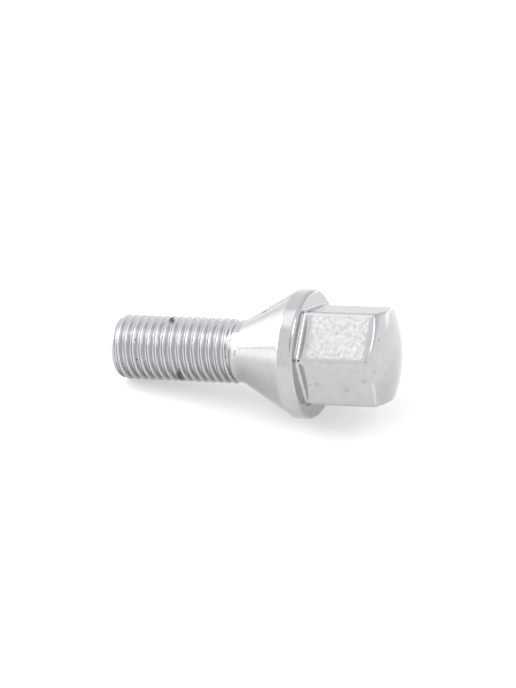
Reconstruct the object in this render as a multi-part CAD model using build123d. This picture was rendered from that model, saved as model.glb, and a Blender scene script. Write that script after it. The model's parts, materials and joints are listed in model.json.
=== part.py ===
from build123d import *
import math
import os

# Wheel bolt in one piece: a hexagon head with a domed end, a flange with a conical seat, a short neck and a
# shank with an M12 x 1.5 thread. The thread is too fine to draw here, so the shank is plain, at the diameter
# over the crests. The bolt is drawn on its own axis, with the middle of its tip at the origin and its head
# upwards. It is then laid on its side as it comes to rest on a table, on the rim of the flange and on the
# corner where the shank's chamfer ends.

# Driving dimensions, in millimetres and degrees
thread_diameter = 11.9       # over the crests of an M12 thread, within its tolerance
thread_length = 23.2         # from the tip to the end of the shoulder at the neck
tip_chamfer_length = 1.0
tip_chamfer_depth = 0.65
neck_relief = 0.3            # depth of the neck's surface under the crests, and length of the shoulder
neck_length = 1.4            # from the thread to the start of the conical seat
neck_fillet = 0.8
seat_angle = 60.0            # included angle of the conical seat
rim_diameter = 23.5
rim_width = 2.9
rim_front_round = 0.5
rim_back_round = 0.8
across_flats = 17.0
hex_length = 13.3            # from the flange to the dome, along the corners
hex_corner_round = 1.2
hex_root_fillet = 0.5
hex_clocking = 7.7           # of a corner, from the side that the bolt lies on
seam_angle = 52.5            # of the turned faces' seam, from the side that the bolt lies on
dome_radius = 24.0
dome_edge_round = 0.75
same_height = 0.001          # tolerance when edges are picked by their height

# Sizes that follow from the driving ones
thread_radius = thread_diameter / 2
neck_radius = thread_radius - neck_relief
rim_radius = rim_diameter / 2
seat_half_angle = math.radians(seat_angle / 2)
seat_start = thread_length + neck_length
rim_front = seat_start + (rim_radius - neck_radius) / math.tan(seat_half_angle)
rim_back = rim_front + rim_width
corner_radius = across_flats / 2 / math.cos(math.radians(30))


def turned_body():
    """Shank, neck, conical seat and rim: one outline of radius and height, turned about the axis."""
    neck_end = (neck_radius, seat_start)
    front_edge = (rim_radius, rim_front)
    back_edge = (rim_radius, rim_back)
    rounds = ((neck_end, neck_fillet), (front_edge, rim_front_round), (back_edge, rim_back_round))
    with BuildSketch(Plane.XZ) as section:
        with BuildLine():
            Polyline(
                (0, 0),
                (thread_radius - tip_chamfer_depth, 0),
                (thread_radius, tip_chamfer_length),
                (thread_radius, thread_length - neck_relief),
                (neck_radius, thread_length),
                neck_end,
                front_edge,
                back_edge,
                (0, rim_back),
                close=True,
            )
        make_face()
        for corner, radius in rounds:
            fillet(section.vertices().sort_by_distance((*corner, 0))[0], radius)
    return Rot(Z=seam_angle) * revolve(section.sketch, Axis.Z)


def hexagon_head():
    """Hexagon with rounded corners, standing in the flange, under a dome whose edge is rounded."""
    dome_height = dome_radius - math.sqrt(dome_radius**2 - corner_radius**2)
    dome_top = rim_back + hex_length + dome_height
    outline = RegularPolygon(across_flats / 2, 6, major_radius=False, rotation=hex_clocking)
    prism = Pos(0, 0, rim_front) * extrude(outline, dome_top - rim_front)
    # The sphere lies on its side, so that neither of its poles falls in the dome.
    dome = Pos(0, 0, dome_top - dome_radius) * Rot(X=-90) * Sphere(dome_radius)
    head = prism & dome
    head = fillet(head.edges().filter_by(Axis.Z), hex_corner_round)
    return fillet(head.faces().filter_by(GeomType.SPHERE).edges(), dome_edge_round)


def wheel_bolt():
    """The whole bolt on its own axis, with a fillet where the hexagon stands on the flange."""
    forged = turned_body() + hexagon_head()
    on_back_face = forged.edges().filter_by_position(Axis.Z, rim_back - same_height, rim_back + same_height)
    root_edges = [edge for edge in on_back_face if edge.distance_to((0, 0, rim_back)) < corner_radius]
    return fillet(root_edges, hex_root_fillet)


def laid_down(bolt):
    """The bolt on its side, its own +X down, with the origin on the table under the middle of its box."""
    reach = rim_front + rim_front_round * math.tan(seat_half_angle / 2) - tip_chamfer_length
    drop = rim_radius - rim_front_round - thread_radius
    tilt = math.atan2(drop, reach) + math.asin(rim_front_round / math.hypot(drop, reach))
    lying = Rot(Y=90 - math.degrees(tilt)) * bolt
    box = lying.bounding_box()
    return Pos(-box.center().X, -box.center().Y, -box.min.Z) * lying


os.makedirs("parts", exist_ok=True)
export_step(laid_down(wheel_bolt()), "parts/wheel_bolt.step")
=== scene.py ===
import json
import math

import bmesh
import bpy
import numpy as np
from mathutils import Matrix, Vector


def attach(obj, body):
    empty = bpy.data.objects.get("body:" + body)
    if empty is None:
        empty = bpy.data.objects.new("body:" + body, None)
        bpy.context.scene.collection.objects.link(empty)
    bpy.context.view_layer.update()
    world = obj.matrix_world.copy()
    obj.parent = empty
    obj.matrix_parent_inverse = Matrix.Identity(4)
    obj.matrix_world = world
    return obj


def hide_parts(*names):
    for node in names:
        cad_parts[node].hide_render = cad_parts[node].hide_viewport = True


# A chrome-plated wheel bolt on a white floor. One mesh stands for the plain solid: it has the same head,
# flange and seat, and adds the rolled thread, the finer shape of the neck, the forged skin of two flats and
# the blemishes of the plating. Sizes are in metres. The bolt is drawn by height, angle and radius on its own
# axis, with height 0 at the tip and angle 0 on the side that it lies on.

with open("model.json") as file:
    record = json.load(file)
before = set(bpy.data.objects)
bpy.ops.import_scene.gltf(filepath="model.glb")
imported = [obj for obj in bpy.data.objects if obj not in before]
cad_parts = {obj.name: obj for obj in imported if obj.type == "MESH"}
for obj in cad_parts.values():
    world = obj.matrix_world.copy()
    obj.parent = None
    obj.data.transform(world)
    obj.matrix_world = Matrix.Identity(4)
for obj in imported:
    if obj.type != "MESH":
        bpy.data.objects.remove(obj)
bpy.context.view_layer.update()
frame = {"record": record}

MM = 0.001
DEGREE = math.pi / 180
FULL_TURN = 2 * math.pi

# Sizes and places that the record states
mounts = {mount["name"]: mount for mount in frame["record"]["mounts"]}
thread = mounts["thread"]
seat = mounts["conical_seat"]
tip = Vector(thread["pos_m"])
axis = -Vector(thread["axis"])
down = Vector((axis.z, 0, -axis.x))
across = axis.cross(down)
thread_radius = thread["dims"]["r_mm"] * MM
thread_length = thread["dims"]["length_mm"] * MM
rim_radius = seat["dims"]["r_mm"] * MM
rim_front = (Vector(seat["pos_m"]) - tip).dot(axis)
seat_start = rim_front - seat["dims"]["length_mm"] * MM
flat_normal = Vector(mounts["hex_flat_front"]["axis"])
apothem = (Vector(mounts["hex_flat_front"]["pos_m"]) - tip).dot(flat_normal)
front_flat_angle = math.atan2(flat_normal.dot(across), flat_normal.dot(down))

# Sizes of the turned and forged shape
tip_chamfer_length = 1.0 * MM
tip_chamfer_depth = 0.65 * MM
neck_relief = 0.3 * MM             # depth of the neck's start under the crests
neck_lip = 0.3 * MM                # length of the neck's start, before it widens slightly towards the seat
lip_bow = 0.015 * MM               # how far the neck's start bulges
neck_bow = 0.03 * MM               # how far the rest of the neck bulges
neck_overlap = 0.4 * MM            # how far the neck reaches past the start of the seat
neck_fillet = 0.6 * MM
rim_width = 2.9 * MM
rim_front_round = 0.5 * MM
rim_back_round = 0.8 * MM
hex_length = 13.3 * MM             # from the flange to the dome, along the corners
hex_corner_round = 1.2 * MM
hex_root_fillet = 0.5 * MM
dome_radius = 24.0 * MM
dome_edge_round = 0.75 * MM
sides = 6
side_turn = FULL_TURN / sides      # from one side of the hexagon to the next

# The rolled thread, which ends in a ring groove with a bevel up to the neck
thread_pitch = 1.5 * MM
first_crest = 0.53 * MM            # height of a crest on the side that the bolt lies on
crest_width = thread_pitch / 8
groove_depth = 0.54 * thread_pitch
flank_angle = 30 * DEGREE
crest_round = 0.14 * MM
root_round = 0.40 * MM
rolling_wave = 2.5 * MM            # length and height of the unevenness that rolling leaves
rolling_height = 0.008 * MM
runout_length = 1.8 * MM           # stretch before the ring groove over which the thread's groove fades out
crease_spacing = 0.4 * MM          # of the creases in the run-out
crease_height = 0.02 * MM
crease_end = 0.2 * MM              # before the ring groove, over which the creases fade out
ring_depth = 0.15 * MM             # of the ring groove, under the neck
ring_bevel = 0.18 * MM             # length of the bevel
ring_offset = 0.2 * MM             # of the ring groove, from the end of the thread

# The rough middle of the flats that kept their forged skin
rough_flats = (2, 5)               # counted round from the front flat
skin_start = 1.5 * MM              # from the foot of the hexagon
skin_end = 0.4 * MM                # from the dome
skin_edge = 0.4 * MM               # over which the skin fades in
skin_corner = 1.0 * MM             # how far its corners are rounded
skin_overlap = 0.2 * MM            # onto the rounded corners of the hexagon
skin_wave = 1.2 * MM               # length and height of its unevenness
skin_height = 0.004 * MM
wave_spread = (0.6, 1.6)           # shortest and longest wave of any unevenness, as shares of its length

# Painted shade, with some dirt at the hexagon's foot: the colour is darkened in the thread's grooves, at the
# hexagon's foot and on the seat towards the side that the bolt lies on, and in the ring groove. Each pair has
# the value where a darkening starts and the one where it is full. Angles are measured from the side that the
# bolt lies on.
groove_shade_depths = (0.15 * MM, 0.5 * MM)                    # under the crests
groove_shade_angles = (105 * DEGREE, 45 * DEGREE)
foot_shade_and_dirt_reach = (hex_root_fillet, 0.7 * hex_root_fillet)    # from the foot of the hexagon
foot_shade_and_dirt_angles = (65 * DEGREE, 45 * DEGREE)
seat_shade_angles = (115 * DEGREE, 85 * DEGREE)
seat_shade_edge = 1.0 * MM          # before the rim, over which the painted shade on the seat fades out
seat_shade_strength = 0.3
ring_darkening_reach = (0.3 * MM, 0.12 * MM)                       # from the ring groove
ring_darkening_strength = 0.7

# Marks on the plating, with a dark crevice at the hexagon's foot that is partly painted shade and partly
# dirt: height in millimetres, angle in degrees, radius and size in millimetres
blisters = (
    (41.13, 278.0, 8.50, 0.60),
    (46.52, 284.7, 8.56, 0.75),
    (50.22, 270.5, 8.57, 0.55),
    (52.21, 259.4, 7.64, 0.55),
    (52.46, 212.6, 6.83, 0.45),
)
specks_and_crevice_shade = (
    (39.90, 279.4, 8.50, 0.14),
    (38.55, 246.6, 9.61, 0.25),
    # These three paint the dark crevice at the hexagon's foot near the underside: partly painted shade,
    # partly dirt
    (38.20, 314.0, 9.35, 0.22),
    (38.15, 320.0, 9.10, 0.25),
    (38.20, 326.0, 9.00, 0.20),
    (29.40, 180.5, 8.42, 0.36),
    (29.65, 180.1, 8.57, 0.42),
    (29.90, 179.6, 8.71, 0.36),
    (23.60, 165.0, 5.64, 0.34),
    (4.77, 225.5, 5.59, 0.20),
    (4.97, 264.2, 5.53, 0.26),
)
# Dried dirt in the thread: angle in degrees, height in millimetres, and how far it reaches each way
dirt_patches = (
    (172, 10.50, 12, 0.45),
    (304, 12.64, 18, 0.42),
)

# Finish of the plating. A grain is the size of the blotches in a field of noise.
chrome_colours = ((0.454, 0.453, 0.460), (0.481, 0.480, 0.488))
chrome_grain = 1.5 * MM
chrome_roughness = (0.05, 0.13)
polish_grain = 3.0 * MM
ripple_grain = 0.35 * MM           # of a faint ripple all over the plating
ripple_bump = 0.08
rolled_colour = (0.54, 0.537, 0.552)
rolled_roughness = 0.10            # what the rolled thread adds
rolled_lines = 0.3 * MM            # spacing of the fine lines round the thread
rolled_bump = 0.7
satin_colours = ((0.40, 0.40, 0.40), (0.49, 0.49, 0.49))
satin_grain = 0.8 * MM
satin_roughness = 0.18             # what the forged skin adds
peel_grain = 0.25 * MM             # of the forged skin's bumps
peel_bump = 0.5
blister_colour = (0.30, 0.30, 0.31)
blister_tint = 0.45
blister_bump = 1.3
# Painted shade, and dirt at the hexagon's foot: its dark colour and how much of it is mixed in
shade_and_dirt_colour = (0.10, 0.095, 0.09)
shade_and_dirt_tint = 0.75
# Colour of the pits, and of the crevice at the hexagon's foot that is partly painted shade
pit_and_crevice_shade_colour = (0.03, 0.025, 0.02)
pit_core = 0.5                     # share of a speck's size that is quite dark
soil_colours = ((0.02, 0.013, 0.008), (0.22, 0.155, 0.10))
soil_grain = 0.3 * MM
stain_grain = 0.5 * MM
stain_range = (0.2, 0.4)           # of the noise, from clean to dirty where it frays a patch of dirt
dirt_roughness = 0.5               # what dirt adds
dirt_metallic = 0.1
blotch_range = (0.35, 0.65)        # of the noise, from one colour to the other
bump_height = 0.03 * MM            # of a bump of strength 1

# Lattice of the mesh
corner_steps = 10                  # round one corner of the hexagon
flat_steps = 28                    # along one flat
flank_phases = (0.05, 0.09, 0.16, 0.26, 0.35, 0.40, 0.45)    # rows of a flank, in pitches from the crest
weld_distance = 0.0001 * MM
sharp_angle = 50 * DEGREE          # of the least edge that isn't smoothed

# Sizes that follow
neck_radius = thread_radius - neck_relief
root_radius = thread_radius - groove_depth
seat_half_angle = math.atan2(rim_radius - neck_radius, rim_front - seat_start)
ring_height = thread_length + ring_offset
ring_radius = neck_radius - ring_depth
neck_start = ring_height + ring_bevel
neck_end = seat_start + neck_overlap
neck_end_radius = neck_radius + neck_overlap * math.tan(seat_half_angle)
neck_taper = math.atan2(neck_end_radius - neck_radius, neck_end - neck_start - neck_lip)
rim_back = rim_front + rim_width
half_side = side_turn / 2
corner_angle = front_flat_angle - half_side
corner_radius = apothem / math.cos(half_side)
half_flat = (apothem - hex_corner_round) * math.tan(half_side)
half_corner = half_side - math.atan2(half_flat, apothem)
dome_centre = rim_back + hex_length - math.sqrt(dome_radius**2 - corner_radius**2)
row_phases = (*(-phase for phase in reversed(flank_phases)), 0, *flank_phases, 0.5)


def soft_min(a, b, blend):
    """The smaller of two values, rounded where they cross."""
    share = np.clip(0.5 + 0.5 * (b - a) / blend, 0, 1)
    return b + (a - b) * share - blend * share * (1 - share)


def soft_max(a, b, blend):
    """The larger of two values, rounded where they cross."""
    return -soft_min(-a, -b, blend)


def smooth_step(start, full, value):
    """0 before the start, 1 past the full value, and a smooth rise between them."""
    share = np.clip((value - start) / (full - start), 0, 1)
    return share * share * (3 - 2 * share)


def turn_from(angle, first, step=FULL_TURN):
    """How far an angle lies past the nearest of some directions that are evenly spaced."""
    return (angle - first + step / 2) % step - step / 2


def waves(x, y, wavelength, seed, count=24):
    """A smooth random field of about unit height, from sine waves in all directions."""
    rng = np.random.default_rng(seed)
    total = np.zeros(np.broadcast(x, y).shape)
    for _ in range(count):
        heading, phase = rng.uniform(0, FULL_TURN, 2)
        length = wavelength * rng.uniform(*wave_spread)
        total += np.sin(FULL_TURN * (x * math.cos(heading) + y * math.sin(heading)) / length + phase)
    return total * math.sqrt(2 / count)


def lattice_angles():
    """Angles round the axis: close together on each rounded corner of the hexagon, even along each flat."""
    corner = np.linspace(-half_corner, half_corner, corner_steps + 1)[:-1]
    along_flat = np.linspace(-half_flat, half_flat, flat_steps + 1)[:-1]
    sector = corner_angle + np.concatenate([corner, half_side + np.arctan(along_flat / apothem)])
    return np.concatenate([sector + side * side_turn for side in range(sides)])


angles = lattice_angles()


def on_bolt(height, angle, radius):
    """Points in the frame, from their places on the bolt."""
    height, angle, radius = (np.asarray(value)[..., None] for value in (height, angle, radius))
    outwards = np.cos(angle) * np.array(down) + np.sin(angle) * np.array(across)
    return np.array(tip) + height * np.array(axis) + radius * outwards


def hexagon_radius(angle):
    """Distance from the axis to the side of the hexagon with rounded corners."""
    off_corner = turn_from(angle, corner_angle, side_turn)
    flat = apothem / np.cos(half_side - np.abs(off_corner))
    centre = (apothem - hex_corner_round) / math.cos(half_side)
    reach = np.sqrt(np.maximum(hex_corner_round**2 - (centre * np.sin(off_corner)) ** 2, 0))
    return np.where(np.abs(off_corner) < half_corner, centre * np.cos(off_corner) + reach, flat)


# Rows of the mesh are two arrays, one of radius and one of height, with a column for each angle of the
# lattice. A ring is one row.


def shares(steps):
    """Even shares from 0 to 1, the same at each angle."""
    return np.linspace(0, 1, steps + 1)[:, None] + 0 * angles


def straight(start, end, steps):
    """Rows from one ring to another. A ring's radius and height may also be plain numbers."""
    return [a + (b - a) * shares(steps) for a, b in zip(start, end)]


def bowed(start, end, bow, steps):
    """Rows from one ring to another that bulge outwards between them."""
    radius, height = straight(start, end, steps)
    return [radius + 4 * bow * shares(steps) * (1 - shares(steps)), height]


def arc(centre, radius, start, end, steps):
    """Rows along a rounded edge, from one direction to another, measured from straight outwards."""
    turn = start + (end - start) * shares(steps)
    return [centre[0] + radius * np.cos(turn), centre[1] + radius * np.sin(turn)]


def ring(rows, number):
    """One ring of some rows."""
    return [values[number] for values in rows]


def hexagon_rows(side):
    """Rows from the middle of the dome to the foot of the hexagon."""
    edge_centre = side - dome_edge_round
    edge_height = dome_centre + np.sqrt((dome_radius - dome_edge_round) ** 2 - edge_centre**2)
    edge_turn = np.arctan2(edge_height - dome_centre, edge_centre)
    dome, _ = straight((0, 0), (dome_radius * np.cos(edge_turn), 0), steps=24)
    root_top = rim_back + hex_root_fillet
    return [
        [dome, dome_centre + np.sqrt(dome_radius**2 - dome**2)],
        arc((edge_centre, edge_height), dome_edge_round, edge_turn, 0, steps=8),
        straight((side, edge_height), (side, root_top), steps=56),
        arc((side + hex_root_fillet, root_top), hex_root_fillet, math.pi, 1.5 * math.pi, steps=6),
    ]


def flange_rows(side):
    """Rows from the foot of the hexagon, over the back face and the rim, to the seat."""
    back_centre = (rim_radius - rim_back_round, rim_back - rim_back_round)
    front_centre = (
        rim_radius - rim_front_round,
        rim_front + rim_front_round * math.tan(seat_half_angle / 2),
    )
    return [
        straight((side + hex_root_fillet, rim_back), (back_centre[0], rim_back), steps=6),
        arc(back_centre, rim_back_round, math.pi / 2, 0, steps=8),
        straight((rim_radius, back_centre[1]), (rim_radius, front_centre[1]), steps=6),
        arc(front_centre, rim_front_round, 0, -seat_half_angle, steps=5),
    ]


def neck_rows(seat_rim):
    """Rows from the wide end of the seat to the ring groove at the thread's end."""
    fillet_reach = neck_fillet * math.tan((seat_half_angle - neck_taper) / 2)
    fillet_centre = (
        neck_end_radius - fillet_reach * math.sin(neck_taper) + neck_fillet * math.cos(neck_taper),
        neck_end - fillet_reach * math.cos(neck_taper) - neck_fillet * math.sin(neck_taper),
    )
    fillet = arc(fillet_centre, neck_fillet, math.pi - seat_half_angle, math.pi - neck_taper, steps=6)
    lip_end = (neck_radius, neck_start + neck_lip)
    lip_start = (neck_radius, neck_start)
    return [
        straight(seat_rim, ring(fillet, 0), steps=16),
        fillet,
        bowed(ring(fillet, -1), lip_end, neck_bow, steps=8),
        bowed(lip_end, lip_start, lip_bow, steps=6),
        straight(lip_start, (ring_radius, ring_height), steps=3),
    ]


def head_rows():
    """Rows from the middle of the dome to the ring groove at the thread's end."""
    side = hexagon_radius(angles)
    flange = flange_rows(side)
    parts = hexagon_rows(side) + flange + neck_rows(ring(flange[-1], -1))
    return [np.concatenate(rows) for rows in zip(*parts)]


def thread_profile(angle, height):
    """Radius of the threaded shank, with its chamfered tip and the creased end of its groove."""
    turns = (height - first_crest) / thread_pitch - angle / FULL_TURN
    off_crest = np.abs(turns - np.round(turns)) * thread_pitch
    flank = thread_radius - (off_crest - crest_width / 2) / math.tan(flank_angle)
    rolled = soft_max(soft_min(flank, thread_radius, crest_round), root_radius, root_round)
    rolled = rolled + rolling_height * waves(angle * thread_radius, height, rolling_wave, seed=3)
    before_ring = ring_height - height
    runout = ring_radius - before_ring * (ring_radius - root_radius) / runout_length
    creased = smooth_step(runout_length, runout_length / 2, before_ring)
    creased = creased * smooth_step(0, crease_end, before_ring)
    creases = crease_height * creased * np.sin(FULL_TURN * before_ring / crease_spacing)
    chamfer = thread_radius - tip_chamfer_depth * (1 - height / tip_chamfer_length)
    ring_wall = ring_radius + before_ring
    return np.minimum.reduce([np.maximum(rolled, runout) + creases, chamfer, ring_wall])


def thread_rows():
    """Rows along the crests and flanks. Each rises by one pitch in a turn, between tip and ring groove."""
    # Some turns start below the tip and some above the ring groove, so that every angle is covered.
    first_turn = -3
    last_turn = math.ceil(ring_height / thread_pitch) + 2
    phases = np.concatenate([turn + np.array(row_phases) for turn in range(first_turn, last_turn)])
    height = first_crest + thread_pitch * (phases[:, None] + angles / FULL_TURN)
    height = np.clip(height, 0, ring_height)
    return thread_profile(angles + 0 * height, height), height


def quads(first, rows, shift):
    """Faces between the rows of a lattice. Its last column joins its first one, some rows further on."""
    columns = len(angles)
    row, column = np.meshgrid(np.arange(rows - 1), np.arange(columns), indexing="ij")
    here = first + row * columns + column
    beside = np.where(column == columns - 1, first + (row + shift) * columns, here + 1)
    faces = np.stack([here, beside, beside + columns, here + columns], axis=-1).reshape(-1, 4)
    return faces[faces.max(axis=1) < first + rows * columns]


def forged_skin(angle, height, radius):
    """1 in the rough middle of a flat that kept its forged skin, fading to 0 at its edge."""
    off_flat = turn_from(angle, front_flat_angle, side_turn)
    flat_number = np.round((angle - front_flat_angle - off_flat) / side_turn).astype(int) % sides
    on_side = np.abs(radius - hexagon_radius(angle)) < weld_distance
    sideways = half_flat + skin_overlap - np.abs(apothem * np.tan(off_flat))
    lengthways = np.minimum(height - rim_back - skin_start, rim_back + hex_length - skin_end - height)
    inside = smooth_step(0, skin_edge, soft_min(sideways, lengthways, skin_corner))
    return np.isin(flat_number, rough_flats) * on_side * inside


def grime(angle, height):
    """1 in the middle of a patch of dirt, fading to 0 at its edge."""
    total = np.zeros(angle.shape)
    for middle, along, wide, long in dirt_patches:
        turn = turn_from(angle, middle * DEGREE) / DEGREE
        spread = (turn / wide) ** 2 + ((height / MM - along) / long) ** 2
        total = np.maximum(total, np.exp(-(spread**2)))
    return total


def painted_shade_and_dirt(angle, height, radius):
    """1 where the colour is darkened most: painted shade in the thread's grooves and on the underside of the
    seat, painted shade and dirt at the hexagon's foot, and a darker ring groove.
    """
    from_underside = np.abs(turn_from(angle, 0))
    in_groove = smooth_step(*groove_shade_depths, thread_radius - radius)
    on_thread = (height < ring_height) * smooth_step(0, tip_chamfer_length, height)
    # Painted shade in the thread's grooves, towards the side that the bolt lies on
    groove_shade = in_groove * on_thread * smooth_step(*groove_shade_angles, from_underside)
    # Painted shade and dirt at the hexagon's foot, towards the side that the bolt lies on
    off_foot = np.maximum(height - rim_back, radius - hexagon_radius(angle))
    at_foot = (height > rim_back - weld_distance) * smooth_step(*foot_shade_and_dirt_reach, off_foot)
    foot_shade_and_dirt = at_foot * smooth_step(*foot_shade_and_dirt_angles, from_underside)
    # Darker in the ring groove
    ring_darkening = ring_darkening_strength * smooth_step(*ring_darkening_reach, np.abs(height - ring_height))
    # Painted shade on the underside of the seat
    on_seat = smooth_step(neck_start, neck_end, height)
    on_seat = on_seat * smooth_step(rim_front, rim_front - seat_shade_edge, height)
    seat_shade = seat_shade_strength * on_seat * smooth_step(*seat_shade_angles, from_underside)
    return np.maximum.reduce([groove_shade, foot_shade_and_dirt, ring_darkening, seat_shade])


def bolt_mesh():
    """The whole surface of the bolt as one closed mesh, with attributes that its plating needs."""
    turned = thread_rows()
    end_face = straight((turned[0][0], 0), (0, 0), steps=10)
    lattices = ((head_rows(), 0), (turned, len(row_phases)), (end_face, 0))
    radius = np.concatenate([rows[0] for rows, _ in lattices])
    height = np.concatenate([rows[1] for rows, _ in lattices])
    angle = angles + 0 * radius
    faces = []
    first = 0
    for rows, shift in lattices:
        faces.append(quads(first, len(rows[0]), shift))
        first += rows[0].size
    rough = forged_skin(angle, height, radius)
    fields = {
        "rough": rough,
        "dirt": grime(angle, height),
        "rolled": smooth_step(neck_start, ring_height, height),
        # Where painted shade darkens the colour, with some dirt at the hexagon's foot
        "shade_and_dirt": painted_shade_and_dirt(angle, height, radius),
        "height": height,
    }
    radius = radius + skin_height * rough * waves(angle * apothem, height, skin_wave, seed=11)
    points = on_bolt(height, angle, radius)
    mesh = bpy.data.meshes.new("wheel_bolt_skin")
    mesh.from_pydata(points.reshape(-1, 3).tolist(), [], np.concatenate(faces).tolist())
    for name, values in fields.items():
        attribute = mesh.attributes.new(name, "FLOAT", "POINT")
        attribute.data.foreach_set("value", values.ravel().astype(np.float32))
    welded = bmesh.new()
    welded.from_mesh(mesh)
    bmesh.ops.remove_doubles(welded, verts=welded.verts, dist=weld_distance)
    bmesh.ops.recalc_face_normals(welded, faces=welded.faces)
    welded.to_mesh(mesh)
    welded.free()
    mesh.shade_smooth()
    mesh.set_sharp_from_angle(angle=sharp_angle)
    return mesh


class Shading:
    """Adds nodes to a material or a world. What a node works on is a constant or another node's output."""

    def __init__(self, owner):
        owner.use_nodes = True
        self.nodes = owner.node_tree.nodes
        self.links = owner.node_tree.links

    def feed(self, socket, value):
        """Give a node something to work on."""
        if isinstance(value, bpy.types.NodeSocket):
            self.links.new(value, socket)
        else:
            socket.default_value = value

    def place(self, kind):
        """Where a point of a surface lies, or which way the world is looked at."""
        return self.nodes.new("ShaderNodeTexCoord").outputs[kind]

    def attribute(self, name):
        """A value that the mesh holds at each of its points."""
        node = self.nodes.new("ShaderNodeAttribute")
        node.attribute_name = name
        return node.outputs["Fac"]

    def noise(self, place, size, detail):
        """Blotches of a size."""
        node = self.nodes.new("ShaderNodeTexNoise")
        self.feed(node.inputs["Scale"], 1 / size)
        self.feed(node.inputs["Detail"], detail)
        self.feed(node.inputs["Vector"], place)
        return node.outputs["Fac"]

    def lines(self, along, spacing, detail):
        """Uneven lines, side by side along one value."""
        node = self.nodes.new("ShaderNodeTexNoise")
        node.noise_dimensions = "1D"
        self.feed(node.inputs["Scale"], 1 / spacing)
        self.feed(node.inputs["Detail"], detail)
        self.feed(node.inputs["W"], along)
        return node.outputs["Fac"]

    def value(self, operation, *values):
        """What an operation makes of some values."""
        node = self.nodes.new("ShaderNodeMath")
        node.operation = operation
        for socket, value in zip(node.inputs, values):
            self.feed(socket, value)
        return node.outputs["Value"]

    def vector(self, operation, output, *values):
        """What an operation makes of some vectors: a value or another vector."""
        node = self.nodes.new("ShaderNodeVectorMath")
        node.operation = operation
        for socket, value in zip(node.inputs, values):
            self.feed(socket, value)
        return node.outputs[output]

    def ranged(self, value, low, high, start=0.0, end=1.0, smooth=False):
        """From low to high while a value goes from start to end."""
        node = self.nodes.new("ShaderNodeMapRange")
        node.interpolation_type = "SMOOTHSTEP" if smooth else "LINEAR"
        self.feed(node.inputs["From Min"], start)
        self.feed(node.inputs["From Max"], end)
        self.feed(node.inputs["To Min"], low)
        self.feed(node.inputs["To Max"], high)
        self.feed(node.inputs["Value"], value)
        return node.outputs["Result"]

    def mixed(self, share, first, second):
        """A colour between two others."""
        node = self.nodes.new("ShaderNodeMix")
        node.data_type = "RGBA"
        self.feed(node.inputs["Factor"], share)
        for name, colour in (("A", first), ("B", second)):
            self.feed(node.inputs[name], (*colour, 1) if isinstance(colour, tuple) else colour)
        return node.outputs["Result"]

    def blotched(self, field, colours):
        """Two colours in blotches."""
        return self.mixed(self.ranged(field, 0, 1, *blotch_range), *colours)

    def spots(self, place, marks, core):
        """1 within the core of each mark on the bolt, falling to 0 at its edge."""
        strongest = 0.0
        for height, angle, radius, size in marks:
            middle = on_bolt(height * MM, angle * DEGREE, radius * MM)
            away = self.vector("DISTANCE", "Value", place, middle)
            spot = self.ranged(away, 0, 1, size * MM, core * size * MM, smooth=True)
            strongest = self.value("MAXIMUM", strongest, spot)
        return strongest


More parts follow.
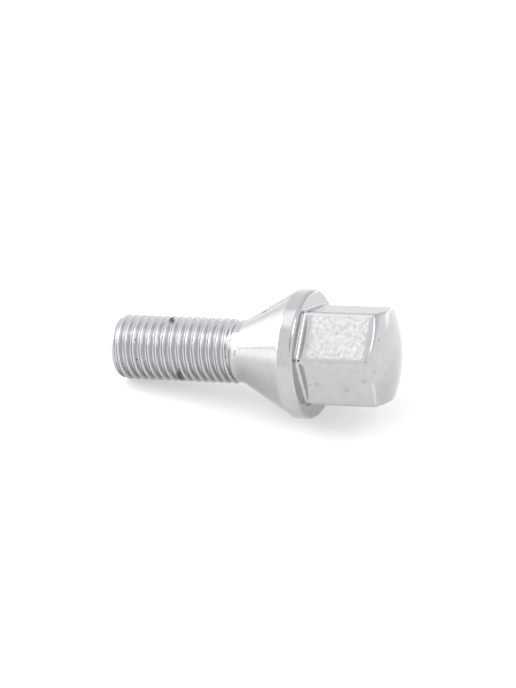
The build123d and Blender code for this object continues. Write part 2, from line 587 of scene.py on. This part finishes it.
def chrome_plating():
    """Bright chrome over forged steel: satin on the forged skin, with blisters, pits and brown dirt, and
    painted shade in the thread's grooves, at the hexagon's foot and on the underside of the seat.
    """
    material = bpy.data.materials.new("chrome_plating")
    chrome = Shading(material)
    shader = chrome.nodes["Principled BSDF"]
    place = chrome.place("Object")
    rough = chrome.attribute("rough")
    rolled = chrome.attribute("rolled")
    blistered = chrome.spots(place, blisters, core=0)
    halo = chrome.value("MULTIPLY", blistered, chrome.ranged(blistered, 1, 0))
    halo_peak = 0.25    # of the halo, halfway to the edge of its blister
    frayed = chrome.ranged(chrome.noise(place, stain_grain, detail=3), 0, 1, *stain_range)
    stain = chrome.value("MULTIPLY", chrome.attribute("dirt"), frayed)
    pits_and_crevice_shade = chrome.spots(place, specks_and_crevice_shade, pit_core)
    dirt = chrome.value("MAXIMUM", stain, pits_and_crevice_shade)

    bright = chrome.blotched(chrome.noise(place, chrome_grain, detail=3), chrome_colours)
    satin = chrome.blotched(chrome.noise(place, satin_grain, detail=4), satin_colours)
    soil = chrome.blotched(chrome.noise(place, soil_grain, detail=2), soil_colours)
    colour = chrome.mixed(rough, chrome.mixed(rolled, bright, rolled_colour), satin)
    colour = chrome.mixed(chrome.ranged(halo, 0, blister_tint, 0, halo_peak), colour, blister_colour)
    # Painted shade darkens the colour in the grooves, at the hexagon's foot and on the seat, with some dirt
    # at the foot
    colour = chrome.mixed(chrome.ranged(chrome.attribute("shade_and_dirt"), 0, shade_and_dirt_tint), colour, shade_and_dirt_colour)
    colour = chrome.mixed(stain, colour, soil)
    # Dark pits, and a crevice at the hexagon's foot that is partly painted shade
    chrome.feed(shader.inputs["Base Color"], chrome.mixed(pits_and_crevice_shade, colour, pit_and_crevice_shade_colour))
    chrome.feed(shader.inputs["Metallic"], chrome.ranged(dirt, 1, dirt_metallic))

    roughness = chrome.ranged(chrome.noise(place, polish_grain, detail=3), *chrome_roughness)
    for share, added in ((rough, satin_roughness), (rolled, rolled_roughness), (dirt, dirt_roughness)):
        roughness = chrome.value("ADD", roughness, chrome.ranged(share, 0, added))
    chrome.feed(shader.inputs["Roughness"], roughness)

    along = chrome.attribute("height")
    lines = chrome.ranged(chrome.lines(along, rolled_lines, detail=2), 0, rolled_bump)
    peel = chrome.ranged(chrome.noise(place, peel_grain, detail=3), 0, peel_bump)
    relief = chrome.ranged(chrome.noise(place, ripple_grain, detail=4), 0, ripple_bump)
    relief = chrome.value("ADD", relief, chrome.value("MULTIPLY", rough, peel))
    relief = chrome.value("ADD", relief, chrome.value("MULTIPLY", rolled, lines))
    relief = chrome.value("ADD", relief, chrome.ranged(blistered, 0, blister_bump))
    bump = chrome.nodes.new("ShaderNodeBump")
    chrome.feed(bump.inputs["Distance"], bump_height)
    chrome.feed(bump.inputs["Height"], relief)
    chrome.feed(shader.inputs["Normal"], bump.outputs["Normal"])
    return material


def outward(azimuth, elevation):
    """Direction from the bolt. Azimuth 0 is straight in front of it, and 90 to the right."""
    level = math.cos(elevation * DEGREE)
    return Vector((
        math.sin(azimuth * DEGREE) * level,
        -math.cos(azimuth * DEGREE) * level,
        math.sin(elevation * DEGREE),
    ))


def grey(level):
    """A colour without a hue."""
    return level, level, level


def set_world():
    """A pale room with lights at the left, one high at the right, and dull places behind and in front."""
    colour = grey(1.25)
    lights = (
        # azimuth, elevation, angle of the full glow, angle where it ends, what it adds to the room's colour
        (272, 3, 22, 46, grey(1.00)),
        (270, 42, 10, 15, grey(3.30)),
        (289, 36, 9, 14, grey(2.40)),
        (258, 64, 8, 22, grey(0.60)),
        (300, 28, 9, 14, grey(3.30)),
        (92, 50, 8, 15, grey(3.20)),
        (150, 8, 15, 50, (-0.20, -0.22, -0.15)),
        (20, 48, 6, 20, grey(-0.66)),
    )
    world = bpy.data.worlds.new("pale_room")
    room = Shading(world)
    direction = room.place("Generated")
    for azimuth, elevation, full, end, glow in lights:
        towards = room.vector("DOT_PRODUCT", "Value", direction, outward(azimuth, elevation))
        patch = room.ranged(towards, 0, 1, math.cos(end * DEGREE), math.cos(full * DEGREE), smooth=True)
        colour = room.vector("MULTIPLY_ADD", "Vector", patch, glow, colour)
    room.feed(room.nodes["Background"].inputs["Color"], colour)
    bpy.context.scene.world = world


def add_floor():
    """A white light table, which keeps the shadow pale, with some places that glow more or less."""
    reach = 1.5    # from the middle of the floor to its edges
    glow = 0.41
    patches = (
        # x and y in millimetres, radius of the full change, radius where it ends, what it adds to the glow
        (-260, -10, 160, 230, 0.58),
        (-16, 75, 25, 55, -0.28),
        (58, 135, 30, 60, 0.55),
        (40, -14, 5, 13, 0.30),
        (32, 22, 8, 26, -0.11),
    )
    mesh = bpy.data.meshes.new("floor")
    corners = [(-reach, -reach, 0), (reach, -reach, 0), (reach, reach, 0), (-reach, reach, 0)]
    mesh.from_pydata(corners, [], [(0, 1, 2, 3)])
    floor = bpy.data.objects.new("floor", mesh)
    bpy.context.scene.collection.objects.link(floor)
    material = bpy.data.materials.new("light_table")
    table = Shading(material)
    paint = table.nodes["Principled BSDF"]
    table.feed(paint.inputs["Base Color"], (*grey(0.57), 1))
    table.feed(paint.inputs["Roughness"], 0.9)
    table.feed(paint.inputs["Specular IOR Level"], 0)
    table.feed(paint.inputs["Emission Color"], (*grey(1), 1))
    place = table.place("Object")
    for x, y, full, end, change in patches:
        away = table.vector("DISTANCE", "Value", place, (x * MM, y * MM, 0))
        patch = table.ranged(away, 0, 1, end * MM, full * MM, smooth=True)
        glow = table.value("MULTIPLY_ADD", patch, change, glow)
    table.feed(paint.inputs["Emission Strength"], glow)
    mesh.materials.append(material)


def add_camera():
    """The photograph's view."""
    target = Vector((0.43, 0, 11.88)) * MM
    distance = 702.5 * MM
    place = target + outward(azimuth=19.81, elevation=32.40) * distance
    look = (target - place).to_track_quat("-Z", "Y")
    camera = bpy.data.cameras.new("photo_camera")
    camera.lens = 202.04
    camera.sensor_width = 36
    view = bpy.data.objects.new("photo_camera", camera)
    bpy.context.scene.collection.objects.link(view)
    view.matrix_world = Matrix.Translation(place) @ look.to_matrix().to_4x4()
    bpy.context.scene.camera = view


bolt = bpy.data.objects.new("wheel_bolt_skin", bolt_mesh())
bpy.context.scene.collection.objects.link(bolt)
bolt.data.materials.append(chrome_plating())
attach(bolt, "root")
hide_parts("wheel_bolt")

bpy.context.scene.view_settings.view_transform = "Standard"
set_world()
add_floor()
add_camera()
